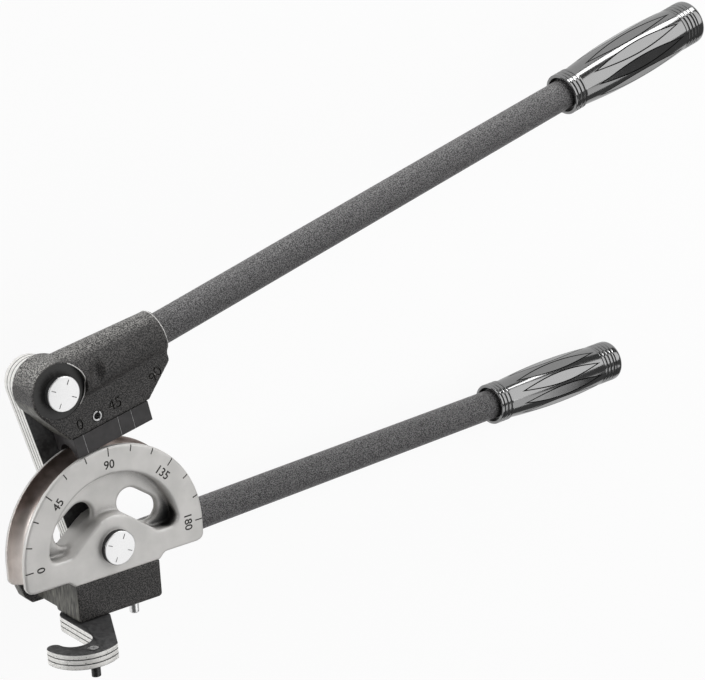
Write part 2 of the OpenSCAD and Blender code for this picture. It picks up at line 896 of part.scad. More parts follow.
module latch_screw() {
    shoulder_top = lug_low - seat_gap;
    shoulder_low = latch_low - seat_gap;
    color([0.1, 0.1, 0.1])
        translate([-latch_left, 0, -latch_back])
            rotate([90, 0, 0])
                difference() {
                    rotate_extrude()
                        polygon([
                            [0, -lug_low - lug_h / 2 + cut],
                            [latch_thread_d / 2, -lug_low - lug_h / 2 + cut],
                            [latch_thread_d / 2, -shoulder_top],
                            [latch_pin_d / 2, -shoulder_top],
                            [latch_pin_d / 2, -shoulder_low],
                            [latch_head_d / 2, -shoulder_low],
                            [latch_head_d / 2, latch_head_t - shoulder_low - head_bevel],
                            [latch_head_d / 2 - head_bevel, latch_head_t - shoulder_low],
                            [0, latch_head_t - shoulder_low]
                        ]);
                    translate([0, 0, latch_head_t / 2 - shoulder_low])
                        cylinder(d = latch_head_d / 2, h = latch_head_t, $fn = 6);
                }
}

module latch_stop_pin() {
    color("gainsboro")
        translate([stop_right, lug_low, 0])
            rotate([90, 0, 0])
                rotate_extrude()
                    polygon([
                        [0, cut - lug_h / 2],
                        [stop_d / 2, cut - lug_h / 2],
                        [stop_d / 2, stop_out - head_bevel],
                        [stop_d / 2 - head_bevel, stop_out],
                        [0, stop_out]
                    ]);
}

module form_screws() {
    color("dimgray")
        for (place = screw_places)
            translate([place, screw_head_top, 0])
                rotate([-90, 0, 0])
                    difference() {
                        union() {
                            translate([0, 0, -screw_head_t])
                                cylinder(d = screw_head_d, h = screw_head_t);
                            cylinder(r = screw_r, h = screw_hold - foot_drop - screw_head_top);
                        }
                        translate([0, 0, -screw_head_t - cut])
                            cylinder(d = screw_socket, h = screw_head_t / 2 + cut, $fn = 6);
                    }
}

bend_form();
form_handle_casting();
form_handle_tube();
form_handle_grip();
centre_pin();
centre_pin_ring();
form_screws();
latch_screw();
latch_stop_pin();
link_plate(0);  // link_plate_1
link_plate(1);  // link_plate_2
link_plate(2);  // link_plate_3
link_plate(3);  // link_plate_4
link_pin();
link_pin_ring();
shoe_handle_casting();
bend_shoe();
shoe_roll_pin();
shoe_handle_tube();
shoe_handle_grip();
latch_plate(0);  // latch_plate_1
latch_plate(1);  // latch_plate_2
latch_plate(2);  // latch_plate_3
latch_peg();
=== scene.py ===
import math

import bmesh
import bpy
from mathutils import Matrix, Vector


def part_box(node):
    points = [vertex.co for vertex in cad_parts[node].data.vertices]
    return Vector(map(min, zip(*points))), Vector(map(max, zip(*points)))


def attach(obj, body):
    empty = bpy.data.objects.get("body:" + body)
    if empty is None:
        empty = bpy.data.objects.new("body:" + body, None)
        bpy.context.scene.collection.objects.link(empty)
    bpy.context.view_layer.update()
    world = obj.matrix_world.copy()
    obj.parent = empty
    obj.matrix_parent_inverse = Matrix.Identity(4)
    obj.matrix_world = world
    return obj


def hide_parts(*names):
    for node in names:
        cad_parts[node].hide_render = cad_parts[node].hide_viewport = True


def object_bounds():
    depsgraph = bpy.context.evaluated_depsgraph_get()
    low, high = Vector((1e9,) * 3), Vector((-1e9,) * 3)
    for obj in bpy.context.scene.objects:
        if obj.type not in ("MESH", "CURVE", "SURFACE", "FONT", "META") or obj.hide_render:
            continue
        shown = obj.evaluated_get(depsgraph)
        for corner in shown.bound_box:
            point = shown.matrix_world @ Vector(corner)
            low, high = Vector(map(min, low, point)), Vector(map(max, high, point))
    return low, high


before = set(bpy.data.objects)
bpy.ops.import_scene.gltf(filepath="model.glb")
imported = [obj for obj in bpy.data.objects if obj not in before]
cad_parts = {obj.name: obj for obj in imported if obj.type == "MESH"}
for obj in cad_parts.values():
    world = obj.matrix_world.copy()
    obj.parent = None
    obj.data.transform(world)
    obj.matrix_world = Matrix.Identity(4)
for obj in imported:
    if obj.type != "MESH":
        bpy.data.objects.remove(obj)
cad_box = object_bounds()

# Bend form: a light-metal casting, tumbled to a satin finish, with the tube groove turned round
# its edge. Pockets with soft edges and a window each lighten both sides. The degree scale is
# stamped into its front face, and two screws from below hold it on the lug of the fixed handle.
FORM_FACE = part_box("bend_form")[1].z
FORM_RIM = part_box("bend_form")[1].x
FORM_GRAIN = 0.00058
GROOVE_RADIUS = 0.00804
GROOVE_SKIN = 0.0004
BEND_RADIUS = 0.05715
POCKET_RADIUS = 0.0424
POCKET_EDGE = 0.003
POCKET_FOOT = -0.0045
POCKET_ROUNDS = 9
WEB_HALF = 0.00225
WEB_SKIN = 0.0002
HUB_FLAT = 0.011
POCKET_TIP = (0.0395, 0.004, WEB_HALF)
WINDOW_OUT = 0.0265
WINDOW_TURN = math.radians(52)
WINDOW_TILT = math.radians(36)
WINDOW_MIDDLE = WINDOW_OUT * Vector((math.sin(WINDOW_TURN), math.cos(WINDOW_TURN)))
WINDOW_LEAN = Vector((math.cos(WINDOW_TILT), -math.sin(WINDOW_TILT)))
WINDOW_RUN = 0.006
WINDOW_WIDTH = 0.0155
WINDOW_CLEAR = 0.0015
WINDOW_RIM = 0.002
WINDOW_LIP = 0.001
WINDOW_ROUNDS = 20
SCALE_STEP = 15
SCALE_FIGURES = (0, 45, 90, 135, 180)
FIGURE_PLACE = 0.0485
FIGURE_HEIGHT = 0.0051
FIGURE_BOLD = 0.016
MARK_WIDTH = 0.0007
MARK_DEPTH = 0.0004
LONG_MARK = 0.0056
SHORT_MARK = 0.0043
MARK_OVERRUN = 0.0001


def merged_solid(node):
    """A node's solid as a bmesh, with its loose triangles joined."""
    solid = bmesh.new()
    solid.from_mesh(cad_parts[node].data)
    bmesh.ops.remove_doubles(solid, verts=solid.verts[:], dist=1e-6)
    return solid


def object_of(solid, name):
    """A bmesh as a new object at the origin."""
    mesh = bpy.data.meshes.new(name)
    solid.to_mesh(mesh)
    solid.free()
    piece = bpy.data.objects.new(name, mesh)
    bpy.context.scene.collection.objects.link(piece)
    return piece


def apply_modifiers(piece):
    """Makes a piece's modifiers part of its mesh."""
    shown = piece.evaluated_get(bpy.context.evaluated_depsgraph_get())
    mesh = bpy.data.meshes.new_from_object(shown)
    piece.modifiers.clear()
    old = piece.data
    piece.data = mesh
    bpy.data.meshes.remove(old)


def remove_piece(piece):
    """Takes away an object that has done its work, with its data."""
    data = piece.data
    bpy.data.objects.remove(piece)
    if isinstance(data, bpy.types.Mesh):
        bpy.data.meshes.remove(data)
    else:
        bpy.data.curves.remove(data)


def soften(solid, verts, rounds):
    """Rounds off the edges among some vertices of an even mesh."""
    for _ in range(rounds):
        bmesh.ops.smooth_vert(solid, verts=verts, factor=0.5, use_axis_x=True, use_axis_y=True,
                              use_axis_z=True)


def cast_solid(node, grain, rounds):
    """A node's solid in even grains, with its edges rounded as a casting's are."""
    rough = object_of(merged_solid(node), node + "_rough")
    remesh = rough.modifiers.new("even_grain", "REMESH")
    remesh.mode = "VOXEL"
    remesh.voxel_size = grain
    apply_modifiers(rough)
    solid = bmesh.new()
    solid.from_mesh(rough.data)
    remove_piece(rough)
    soften(solid, solid.verts[:], rounds)
    return solid


def add_solid(target, solid, place):
    """Adds a solid to another one at a place."""
    bmesh.ops.transform(solid, matrix=place, verts=solid.verts[:])
    mesh = bpy.data.meshes.new("added")
    solid.to_mesh(mesh)
    solid.free()
    target.from_mesh(mesh)
    bpy.data.meshes.remove(mesh)


def block(length, width, height):
    """A block round the origin."""
    solid = bmesh.new()
    bmesh.ops.create_cube(solid, size=1)
    bmesh.ops.scale(solid, vec=(length, width, height), verts=solid.verts[:])
    return solid


def figures(word, height, depth, bold):
    """Figures as a closed solid round the origin, of a height in Y and twice the depth in Z."""
    curve = bpy.data.curves.new("figures", "FONT")
    curve.body = word
    curve.size = 1
    curve.extrude = 1
    curve.offset = bold
    curve.resolution_u = 6
    text = bpy.data.objects.new("figures", curve)
    bpy.context.scene.collection.objects.link(text)
    mesh = bpy.data.meshes.new_from_object(text.evaluated_get(bpy.context.evaluated_depsgraph_get()))
    solid = bmesh.new()
    solid.from_mesh(mesh)
    bpy.data.meshes.remove(mesh)
    remove_piece(text)
    bmesh.ops.remove_doubles(solid, verts=solid.verts[:], dist=1e-5)
    bmesh.ops.recalc_face_normals(solid, faces=solid.faces[:])
    sides = [vert.co.x for vert in solid.verts]
    levels = [vert.co.y for vert in solid.verts]
    bmesh.ops.translate(solid, verts=solid.verts[:],
                        vec=(-(min(sides) + max(sides)) / 2, -(min(levels) + max(levels)) / 2, 0))
    size = height / (max(levels) - min(levels))
    bmesh.ops.scale(solid, vec=(size, size, depth), verts=solid.verts[:])
    return solid


def sink(piece, stamp, finish_index):
    """Sinks a stamp's solids into a piece, and gives the sunk faces one of its finishes."""
    for face in stamp.faces:
        face.material_index = finish_index
    cutter = object_of(stamp, piece.name + "_stamp")
    for material in piece.data.materials:
        cutter.data.materials.append(material)
    cut = piece.modifiers.new("stamp", "BOOLEAN")
    cut.operation = "DIFFERENCE"
    cut.solver = "MANIFOLD"
    cut.object = cutter
    apply_modifiers(piece)
    remove_piece(cutter)


def set_in_place(piece, body, nodes=(), smooth_deg=35):
    """Shades a finished piece, gives it its body, and hides the nodes that it stands for."""
    piece.data.polygons.foreach_set("use_smooth", [True] * len(piece.data.polygons))
    piece.data.set_sharp_from_angle(angle=math.radians(smooth_deg))
    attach(piece, body)
    if nodes:
        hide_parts(*nodes)


def new_finish(name, colour, roughness, metallic):
    """A material, its node tree and its shader."""
    material = bpy.data.materials.new(name)
    material.use_nodes = True
    shader = material.node_tree.nodes["Principled BSDF"]
    shader.inputs["Base Color"].default_value = (*colour, 1)
    shader.inputs["Roughness"].default_value = roughness
    shader.inputs["Metallic"].default_value = metallic
    return material, material.node_tree, shader


def noise_of(tree, scale, detail=3.0, stretch=(1, 1, 1)):
    """Noise in the piece's own coordinates, in grains per metre, stretched along its axes."""
    place = tree.nodes.new("ShaderNodeTexCoord")
    turn = tree.nodes.new("ShaderNodeMapping")
    turn.inputs["Scale"].default_value = stretch
    noise = tree.nodes.new("ShaderNodeTexNoise")
    noise.inputs["Scale"].default_value = scale
    noise.inputs["Detail"].default_value = detail
    tree.links.new(place.outputs["Object"], turn.inputs["Vector"])
    tree.links.new(turn.outputs["Vector"], noise.inputs["Vector"])
    return noise.outputs["Fac"]


def tones(tree, value, dark, light, low=0.35, high=0.65):
    """A colour between two tones by a value."""
    ramp = tree.nodes.new("ShaderNodeValToRGB")
    ramp.color_ramp.elements[0].position = low
    ramp.color_ramp.elements[0].color = (*dark, 1)
    ramp.color_ramp.elements[1].position = high
    ramp.color_ramp.elements[1].color = (*light, 1)
    tree.links.new(value, ramp.inputs["Fac"])
    return ramp.outputs["Color"]


def blend_colours(tree, share, under, over):
    """One colour laid over another by a share."""
    mix = tree.nodes.new("ShaderNodeMix")
    mix.data_type = "RGBA"
    tree.links.new(share, mix.inputs["Factor"])
    tree.links.new(under, mix.inputs["A"])
    tree.links.new(over, mix.inputs["B"])
    return mix.outputs["Result"]


def span(tree, value, low, high, start=0.0, end=1.0):
    """A number that goes between two limits as a value goes from start to end."""
    step = tree.nodes.new("ShaderNodeMapRange")
    step.inputs["From Min"].default_value = start
    step.inputs["From Max"].default_value = end
    step.inputs["To Min"].default_value = low
    step.inputs["To Max"].default_value = high
    tree.links.new(value, step.inputs["Value"])
    return step.outputs["Result"]


def bump(tree, shader, value, depth, strength):
    """Raises a shader's surface by a value, to a depth in metres."""
    relief = tree.nodes.new("ShaderNodeBump")
    relief.inputs["Strength"].default_value = strength
    relief.inputs["Distance"].default_value = depth
    tree.links.new(value, relief.inputs["Height"])
    tree.links.new(relief.outputs["Normal"], shader.inputs["Normal"])


def open_share(tree, reach):
    """Share of open space round a point: low in corners and at the foot of walls."""
    shade = tree.nodes.new("ShaderNodeAmbientOcclusion")
    shade.samples = 8
    shade.only_local = True
    shade.inputs["Distance"].default_value = reach
    return shade.outputs["AO"]


def from_corner(tree, corner):
    """Distance of the surface from a corner of the piece."""
    place = tree.nodes.new("ShaderNodeTexCoord")
    reach = tree.nodes.new("ShaderNodeVectorMath")
    reach.operation = "DISTANCE"
    reach.inputs[1].default_value = corner
    tree.links.new(place.outputs["Object"], reach.inputs[0])
    return reach.outputs["Value"]


def satin_form_finish():
    """Tumbled light metal, with painted shade in its corners and most of it in one pocket's end."""
    material, tree, shader = new_finish("satin_form", (0.5, 0.49, 0.47), 0.45, 0.35)
    cloud = noise_of(tree, 70, 4)
    metal_tone = tones(tree, cloud, (0.63, 0.62, 0.6), (0.72, 0.705, 0.685))
    # Near-black tone for corners, the foot of walls and one pocket's end: painted shade.
    dark_mottle = tones(tree, cloud, (0.005, 0.005, 0.005), (0.02, 0.019, 0.018))
    darkening = span(tree, from_corner(tree, POCKET_TIP), 0.27, 0.0, 0.004, 0.016)
    unshaded = tree.nodes.new("ShaderNodeMath")
    unshaded.operation = "SUBTRACT"
    tree.links.new(open_share(tree, 0.012), unshaded.inputs[0])
    tree.links.new(darkening, unshaded.inputs[1])
    # Share of the metal tone: open space less the painted shade at the pocket's tip.
    brighter = span(tree, unshaded.outputs["Value"], 0.0, 1.0, 0.4, 0.72)
    tree.links.new(blend_colours(tree, brighter, dark_mottle, metal_tone), shader.inputs["Base Color"])
    grain = noise_of(tree, 1800, 2)
    tree.links.new(span(tree, grain, 0.38, 0.55), shader.inputs["Roughness"])
    bump(tree, shader, grain, 0.00004, 0.3)
    return material


def turned_groove_finish():
    """Turned light metal, stained by tubes round most of the groove and fresher at its low end; its dark
    is also painted shade under the shoe, and its light low end painted light.
    """
    material, tree, shader = new_finish("turned_groove", (0.3, 0.24, 0.22), 0.4, 0.8)
    stain = noise_of(tree, 140, 4)
    second_tone = tones(tree, stain, (0.15, 0.12, 0.105), (0.24, 0.2, 0.185))
    low_end_tone = tones(tree, stain, (0.85, 0.79, 0.75), (0.95, 0.89, 0.85))
    place = tree.nodes.new("ShaderNodeTexCoord")
    axes = tree.nodes.new("ShaderNodeSeparateXYZ")
    tree.links.new(place.outputs["Object"], axes.inputs["Vector"])
    # Dark above, light at the low end: tube stain with painted shade and painted light.
    low_end = span(tree, axes.outputs["Y"], 1.0, 0.0, 0.002, 0.034)
    tree.links.new(blend_colours(tree, low_end, second_tone, low_end_tone), shader.inputs["Base Color"])
    tree.links.new(span(tree, low_end, 0.75, 0.15), shader.inputs["Metallic"])
    turning = noise_of(tree, 260, 3, (0.3, 0.3, 12))
    tree.links.new(span(tree, turning, 0.3, 0.5), shader.inputs["Roughness"])
    bump(tree, shader, turning, 0.00004, 0.3)
    return material


def stamped_mark_finish():
    """Dark dirt that fills sunk marks."""
    material, tree, shader = new_finish("stamped_mark", (0.04, 0.038, 0.035), 0.6, 0.2)
    dark_mottle = noise_of(tree, 900, 3)
    filling = tones(tree, dark_mottle, (0.022, 0.02, 0.018), (0.085, 0.08, 0.075))
    tree.links.new(filling, shader.inputs["Base Color"])
    return material


def off_window(point):
    """Distance of a point from the nearer window's edge, in the plane of the face."""
    reach = Vector((abs(point.x), point.y)) - WINDOW_MIDDLE
    along = max(-WINDOW_RUN, min(WINDOW_RUN, reach.dot(WINDOW_LEAN)))
    return (reach - along * WINDOW_LEAN).length - WINDOW_WIDTH / 2


def in_pocket(point):
    """Whether a point lies on the walls, floors or edges of the pockets."""
    out = math.hypot(point.x, point.y)
    return (HUB_FLAT < out < POCKET_RADIUS + POCKET_EDGE and point.y > POCKET_FOOT
            and abs(point.z) > WEB_HALF - WEB_SKIN and off_window(point) > WINDOW_CLEAR)


def at_window(point):
    """Whether a point lies on a window's rim."""
    return abs(point.z) < WEB_HALF + WINDOW_LIP and abs(off_window(point)) < WINDOW_RIM


form_solid = cast_solid("bend_form", FORM_GRAIN, 2)
soften(form_solid, [vert for vert in form_solid.verts if in_pocket(vert.co)], POCKET_ROUNDS)
soften(form_solid, [vert for vert in form_solid.verts if at_window(vert.co)], WINDOW_ROUNDS)
for face in form_solid.faces:
    middle = face.calc_center_median()
    out = math.hypot(middle.x, middle.y) if middle.y > 0 else abs(middle.x)
    face.material_index = int(math.hypot(out - BEND_RADIUS, middle.z) < GROOVE_RADIUS + GROOVE_SKIN)
form = object_of(form_solid, "bend_form_casting")
stamped_mark = stamped_mark_finish()
for finish in (satin_form_finish(), turned_groove_finish(), stamped_mark):
    form.data.materials.append(finish)
scale_stamp = bmesh.new()
for degrees in range(0, 181, SCALE_STEP):
    turn = Matrix.Rotation(math.radians(180 - degrees), 4, "Z")
    mark = LONG_MARK if degrees in SCALE_FIGURES else SHORT_MARK
    add_solid(scale_stamp, block(mark, MARK_WIDTH, 2 * MARK_DEPTH),
              turn @ Matrix.Translation((FORM_RIM - mark / 2 + MARK_OVERRUN, 0, FORM_FACE)))
for degrees in SCALE_FIGURES:
    turn = Matrix.Rotation(math.radians(90 - degrees), 4, "Z")
    add_solid(scale_stamp, figures(str(degrees), FIGURE_HEIGHT, MARK_DEPTH, FIGURE_BOLD),
              turn @ Matrix.Translation((0, FIGURE_PLACE, FORM_FACE)))
sink(form, scale_stamp, 2)
set_in_place(form, "form_handle", ["bend_form"])

# Fixed handle's casting: a vise lug below the form, an ear behind the link and a socket for the
# lower tube, cast in iron. A black crinkle coat covers it, and the lug's sides, which a vise
# holds, are rubbed down to a dull olive grey whose lightness is partly painted light.
LUG_SIDE = 0.0275
LUG_SKIN = 0.0012
LUG_FACING = 0.8
CASTING_GRAIN = 0.0007
CASTING_CRINKLE = 1350


def worn_edges(tree, low, high):
    """Share of a lighter tone along a casting's most convex outer edges."""
    shape = tree.nodes.new("ShaderNodeNewGeometry")
    return span(tree, shape.outputs["Pointiness"], 0.0, 1.0, low, high)


def facing(tree, direction):
    """How far a piece's surface faces a direction, from -1 to 1."""
    place = tree.nodes.new("ShaderNodeTexCoord")
    dot = tree.nodes.new("ShaderNodeVectorMath")
    dot.operation = "DOT_PRODUCT"
    dot.inputs[1].default_value = Vector(direction).normalized()
    tree.links.new(place.outputs["Normal"], dot.inputs[0])
    return dot.outputs["Value"]


def crinkle_coat_finish(name, crinkle_scale, dark, light, lit_tone, brighter=None):
    """Crinkle coat, lighter on its upper left side as painted light, and lighter along its most convex
    outer edges.
    """
    material, tree, shader = new_finish(name, light, 0.5, 0.0)
    crinkle = noise_of(tree, crinkle_scale, 2)
    shade = tones(tree, crinkle, dark, light, 0.44, 0.58)
    # Lighter tone on surfaces that face up and to the left: painted light.
    painted_lit_coat = tones(tree, crinkle, dark, lit_tone, 0.42, 0.6)
    lit_share = span(tree, facing(tree, (-0.55, 0.83, 0.05)), 0.0, 1.0, 0.66, 1.0)
    coat = blend_colours(tree, lit_share, shade, painted_lit_coat)
    if brighter:
        second_tone = tones(tree, crinkle, light, brighter)
        coat = blend_colours(tree, worn_edges(tree, 0.53, 0.62), coat, second_tone)
    tree.links.new(coat, shader.inputs["Base Color"])
    tree.links.new(span(tree, crinkle, 0.6, 0.36), shader.inputs["Roughness"])
    bump(tree, shader, crinkle, 0.0006, 0.8)
    return material


def rubbed_coat_finish():
    """Coat worn thin in streaks, as vise jaws and other parts rub it, and lighter in part as painted
    light.
    """
    material, tree, shader = new_finish("worn_and_lit_coat", (0.1, 0.1, 0.085), 0.5, 0.2)
    rub = noise_of(tree, 700, 5, (1, 0.22, 1))
    tree.links.new(tones(tree, rub, (0.03, 0.03, 0.026), (0.18, 0.175, 0.155), 0.36, 0.68),
                   shader.inputs["Base Color"])
    grain = noise_of(tree, 1200, 3)
    tree.links.new(span(tree, grain, 0.4, 0.6), shader.inputs["Roughness"])
    bump(tree, shader, grain, 0.0002, 0.4)
    return material


casting_coat = crinkle_coat_finish("casting_coat", CASTING_CRINKLE, dark=(0.006, 0.0055, 0.0055),
                                   light=(0.085, 0.08, 0.077), lit_tone=(0.46, 0.45, 0.43),
                                   brighter=(0.3, 0.29, 0.28))
worn_and_lit_coat = rubbed_coat_finish()
fixed_solid = cast_solid("form_handle_casting", CASTING_GRAIN, 2)
for face in fixed_solid.faces:
    at_side = abs(face.calc_center_median().x) > LUG_SIDE - LUG_SKIN
    # The lug's sides take the worn coat, lighter in part as painted light.
    face.material_index = int(at_side and abs(face.normal.x) > LUG_FACING)
fixed_casting = object_of(fixed_solid, "form_handle_cast")
fixed_casting.data.materials.append(casting_coat)
fixed_casting.data.materials.append(worn_and_lit_coat)
set_in_place(fixed_casting, "form_handle", ["form_handle_casting"])

# Form screws, latch screw and stop pin: bought steel parts under the lug. The screws are black
# oxide socket screws, and the stop pin is bright drawn rod with a turned end, pressed into the lug.
STOP_PIN_EASE = 0.0002
LEVEL_DEG = 0.5
CRISP_DEG = 35


def steel_finish(name, dark, light, roughness, metallic, grain=900):
    """Steel, mottled between two close tones."""
    material, tree, shader = new_finish(name, light, roughness, metallic)
    mottle = noise_of(tree, grain, 3)
    tree.links.new(tones(tree, mottle, dark, light), shader.inputs["Base Color"])
    tree.links.new(span(tree, mottle, roughness - 0.08, roughness + 0.08), shader.inputs["Roughness"])
    return material


def finish_node(node, material):
    """Gives a node of the frame its finish."""
    node_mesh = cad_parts[node].data
    node_mesh.materials.clear()
    node_mesh.materials.append(material)


black_oxide = steel_finish("black_oxide", (0.012, 0.012, 0.013), (0.03, 0.03, 0.031), 0.42, 0.6)
for node in ("form_screws", "latch_screw"):
    finish_node(node, black_oxide)


def eased_solid(node, ease, shortest=1e-6, clamped=True):
    """A node's solid with its crisp edges eased by a small bevel, and edges under a length closed up."""
    solid = merged_solid(node)
    bmesh.ops.remove_doubles(solid, verts=solid.verts[:], dist=shortest)
    bmesh.ops.dissolve_limit(solid, angle_limit=math.radians(LEVEL_DEG), verts=solid.verts[:],
                             edges=solid.edges[:])
    crisp = [edge for edge in solid.edges
             if edge.is_manifold and edge.calc_face_angle() > math.radians(CRISP_DEG)]
    bmesh.ops.bevel(solid, geom=crisp, offset=ease, offset_type="OFFSET", affect="EDGES", segments=2,
                    profile=0.5, material=-1, clamp_overlap=clamped)
    return solid


bright_steel = steel_finish("bright_steel", (0.68, 0.68, 0.68), (0.82, 0.82, 0.82), 0.3, 1.0)
stop_pin = object_of(eased_solid("latch_stop_pin", STOP_PIN_EASE), "stop_pin")
stop_pin.data.materials.append(bright_steel)
set_in_place(stop_pin, "form_handle", ["latch_stop_pin"])

# Handle tubes: drawn steel tubes, driven into the sockets of the two castings. They have the
# crinkle coat too, a little finer and greyer.
TUBE_CRINKLE = 1500
tube_coat = crinkle_coat_finish("tube_coat", TUBE_CRINKLE, dark=(0.035, 0.034, 0.035),
                                light=(0.19, 0.186, 0.188), lit_tone=(0.3, 0.295, 0.295))
for node in ("form_handle_tube", "shoe_handle_tube"):
    finish_node(node, tube_coat)

# Handle grips: moulded in glossy black plastic and pushed on the tubes' ends. Each has ribs at both
# ends and a swelling barrel with a ring of long pointed flats, and the recess round the tube
# shows at the open end.
GRIP_BORE = 0.009575
GRIP_TURNS = 360
RIB_HEIGHT = 0.0009
RIB_PITCH = 0.003
RIB_STEPS = ((0.1, 1), (0.22, 0.25), (0.3, 0), (0.6, 0), (0.68, 0.25), (0.8, 1))
NEAR_RADIUS = 0.0134
NEAR_RIBS = 3
FAR_RIBS = 4
GRIP_LIP_LENGTH = 0.002
GRIP_LIP_DEPTH = 0.007
GRIP_LIP_GAP = 0.0017
GRIP_LIP_BREAK = 0.0003
GRIP_LIP_ROUND = 0.0005
BARREL_START = 0.0126
BARREL_STEPS = 170
BARREL_TAPER = 0.0014
CAP_LENGTH = 0.006
CAP_ROUND = 0.0036
GRIP_END = 0.005
GRIP_WALL = 0.001
GRIP_SMOOTH_DEG = 22
FLATS = 10
FLAT_HALF = 0.0037
FLAT_FROM = 0.12
FLAT_TO = 0.95
OUTLINE_HALF = 0.0004
OUTLINE_DEPTH = 0.0005
OUTLINE_TIP = 0.022
OUTLINE_STEPS = 44
OUTLINE_OVERRUN = 0.001


def rib_profile(start, count, radius):
    """Rounded ribs as profile points, radius and height."""
    return [(radius - drop * RIB_HEIGHT, start + (rib + step) * RIB_PITCH)
            for rib in range(count) for step, drop in RIB_STEPS]


def barrel_radius(part, full):
    """Radius of a grip's barrel at a part of its length."""
    far = full - BARREL_TAPER
    swell = full - (BARREL_START + far) / 2
    return BARREL_START + (far - BARREL_START) * part + 4 * swell * part * (1 - part)


def barrel_span(length):
    """Start and run of a grip's barrel along the grip."""
    start = GRIP_LIP_LENGTH + NEAR_RIBS * RIB_PITCH
    return start, length - CAP_LENGTH - FAR_RIBS * RIB_PITCH - start


def turned_solid(profile, turns):
    """A profile of radius and height points, turned about Z into a closed solid."""
    solid = bmesh.new()
    verts = [solid.verts.new((radius, 0, height)) for radius, height in profile]
    edges = [solid.edges.new(pair) for pair in zip(verts, verts[1:])]
    bmesh.ops.spin(solid, geom=verts + edges, cent=(0, 0, 0), axis=(0, 0, 1), angle=math.tau,
                   steps=turns, use_merge=True)
    bmesh.ops.remove_doubles(solid, verts=solid.verts[:], dist=1e-7)
    bmesh.ops.recalc_face_normals(solid, faces=solid.faces[:])
    return solid


def grip_solid(length, full, flat_turn):
    """A grip along Z from its open end, with its ring of flats turned by an angle."""
    far = full - BARREL_TAPER
    barrel_from, barrel_run = barrel_span(length)
    lip_bore = GRIP_BORE + GRIP_LIP_GAP
    corner = 0.3 * GRIP_LIP_ROUND
    profile = [(0, length - GRIP_END), (GRIP_BORE, length - GRIP_END), (GRIP_BORE, GRIP_LIP_DEPTH),
               (lip_bore, GRIP_LIP_DEPTH), (lip_bore, GRIP_LIP_BREAK), (lip_bore + GRIP_LIP_BREAK, 0),
               (NEAR_RADIUS - GRIP_LIP_ROUND, 0), (NEAR_RADIUS - corner, corner),
               (NEAR_RADIUS, GRIP_LIP_ROUND), (NEAR_RADIUS, GRIP_LIP_LENGTH - 0.8 * GRIP_LIP_ROUND)]
    profile += rib_profile(GRIP_LIP_LENGTH, NEAR_RIBS, NEAR_RADIUS)
    for step in range(BARREL_STEPS + 1):
        part = step / BARREL_STEPS
        profile.append((barrel_radius(part, full), barrel_from + part * barrel_run))
    profile += rib_profile(barrel_from + barrel_run, FAR_RIBS, far)
    profile.append((far, length - CAP_LENGTH))
    for turn in range(0, 91, 10):
        angle = math.radians(turn)
        profile.append((far - CAP_ROUND * (1 - math.cos(angle)),
                        length - CAP_ROUND * (1 - math.sin(angle))))
    profile.append((0, length))
    solid = turned_solid(profile, GRIP_TURNS)
    flat_step = math.tau / FLATS
    for vert in solid.verts:
        part = (vert.co.z - barrel_from) / barrel_run
        out = math.hypot(vert.co.x, vert.co.y)
        if not 0 < part < 1 or out < GRIP_BORE + GRIP_WALL:
            continue
        turn = (math.atan2(vert.co.y, vert.co.x) - flat_turn + flat_step / 2) % flat_step - flat_step / 2
        along = (part - FLAT_FROM) / (FLAT_TO - FLAT_FROM)
        if 0 < along < 1:
            flat = out * math.cos(FLAT_HALF * math.sin(math.pi * along) / out) / math.cos(turn)
            vert.co.x *= min(flat, out) / out
            vert.co.y *= min(flat, out) / out
    return solid


def outline_loop(solid, length, full, middle_turn, grow, depth):
    """A loop of vertices round one flat, grown or shrunk from its edge, at a depth in the barrel."""
    barrel_from, barrel_run = barrel_span(length)
    low = FLAT_FROM - grow * OUTLINE_TIP
    high = FLAT_TO + grow * OUTLINE_TIP
    loop = []
    for step in range(2 * OUTLINE_STEPS):
        along = 1 - abs(1 - step / OUTLINE_STEPS)
        part = low + (high - low) * along
        out = barrel_radius(part, full)
        half = (FLAT_HALF + grow * OUTLINE_HALF) * math.sin(math.pi * along) / out
        turn = middle_turn + (half if step < OUTLINE_STEPS else -half)
        loop.append(solid.verts.new(((out - depth) * math.cos(turn), (out - depth) * math.sin(turn),
                                     barrel_from + part * barrel_run)))
    return loop


def flat_outlines(length, full, flat_turn):
    """Fine rings that stand in a grip's barrel along the edges of its flats."""
    corners = ((1, -OUTLINE_OVERRUN), (1, OUTLINE_DEPTH), (-1, OUTLINE_DEPTH), (-1, -OUTLINE_OVERRUN))
    outlines = bmesh.new()
    for flat in range(FLATS):
        middle_turn = flat_turn + flat * math.tau / FLATS
        loops = [outline_loop(outlines, length, full, middle_turn, grow, depth) for grow, depth in corners]
        for here, there in zip(loops, loops[1:] + loops[:1]):
            for step in range(2 * OUTLINE_STEPS):
                outlines.faces.new((here[step - 1], here[step], there[step], there[step - 1]))
    bmesh.ops.recalc_face_normals(outlines, faces=outlines.faces[:])
    return outlines


def set_grip(length, full, flat_turn, place, name, body, node):
    """A finished grip at its place on a handle."""
    solid = grip_solid(length, full, flat_turn)
    outlines = flat_outlines(length, full, flat_turn)
    for shape in (solid, outlines):
        bmesh.ops.transform(shape, matrix=place, verts=shape.verts[:])
    grip = object_of(solid, name)
    grip.data.materials.append(grip_plastic)
    grip.data.materials.append(grip_groove)
    sink(grip, outlines, 1)
    set_in_place(grip, body, [node], GRIP_SMOOTH_DEG)


def along_handle(slope_deg, side, depth, start):
    """The place of a piece that lies along a handle, from a distance along it."""
    return (Matrix.Rotation(math.radians(slope_deg), 4, "Z")
            @ Matrix.Translation((start, side, depth))
            @ Matrix.Rotation(math.radians(90), 4, "Y"))


